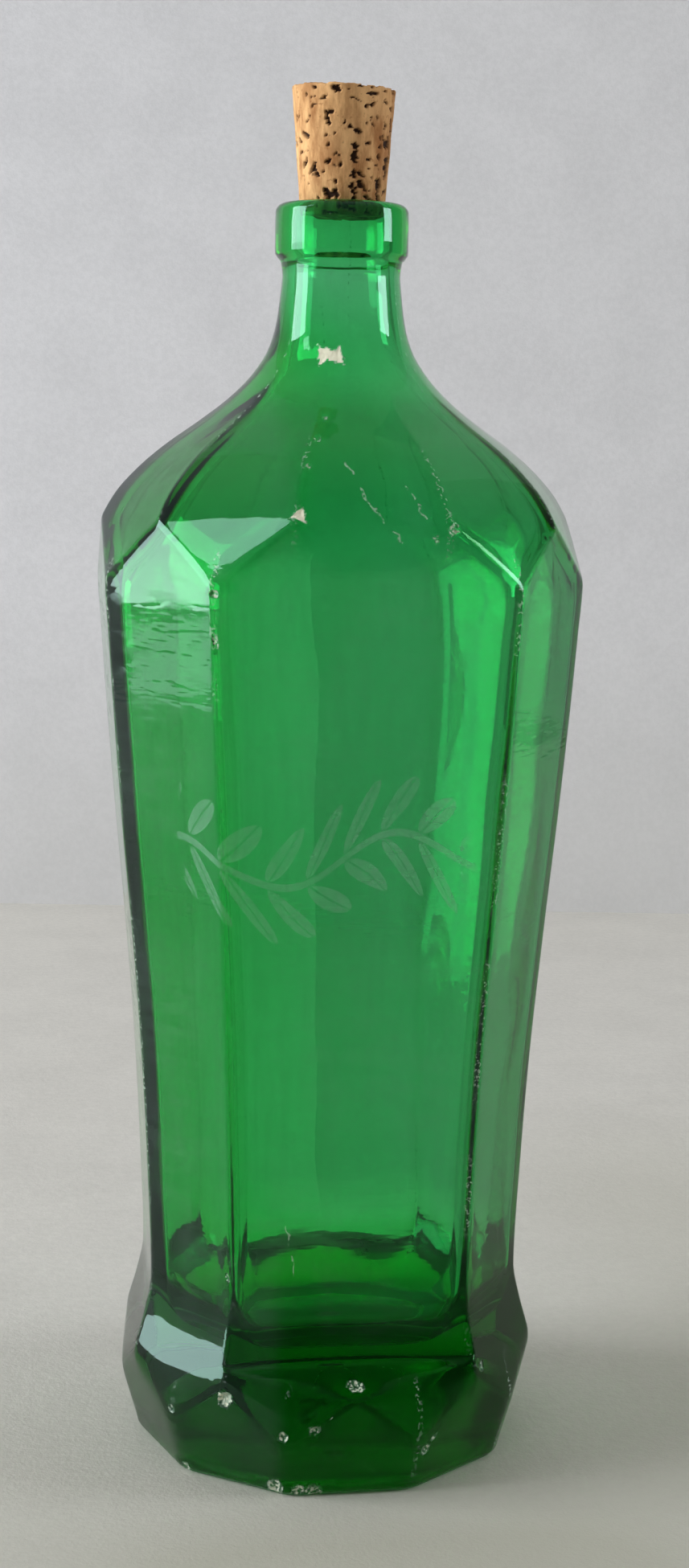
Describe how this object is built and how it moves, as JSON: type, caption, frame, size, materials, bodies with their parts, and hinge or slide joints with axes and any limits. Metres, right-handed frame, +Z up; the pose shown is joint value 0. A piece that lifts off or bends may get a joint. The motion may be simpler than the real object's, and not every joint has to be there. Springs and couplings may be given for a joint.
{
  "type": "seltzer bottle",
  "caption": "Tall ten-sided seltzer bottle of thick green glass with wide front and back panels, a faceted foot and a round neck, closed by a tapered cork.",
  "frame": {"origin": "centre of the base ring, on the table", "axes": "+Z up along the bottle, wide front panel facing -Y, wide back panel facing +Y"},
  "size_m": [0.097, 0.0922, 0.2815],
  "materials": {
    "green_glass": "clear bottle green, thick and slightly worn",
    "natural_cork": "dry natural cork with dark pits"
  },
  "bodies": {
    "bottle": {"glass_bottle": "green_glass"},
    "stopper": {"cork": "natural_cork"}
  },
  "joints": [
    {"name": "cork_lift", "type": "slide", "parent": "bottle", "child": "stopper", "axis": [0, 0, 1], "range_m": [0, 0.05]}
  ]
}
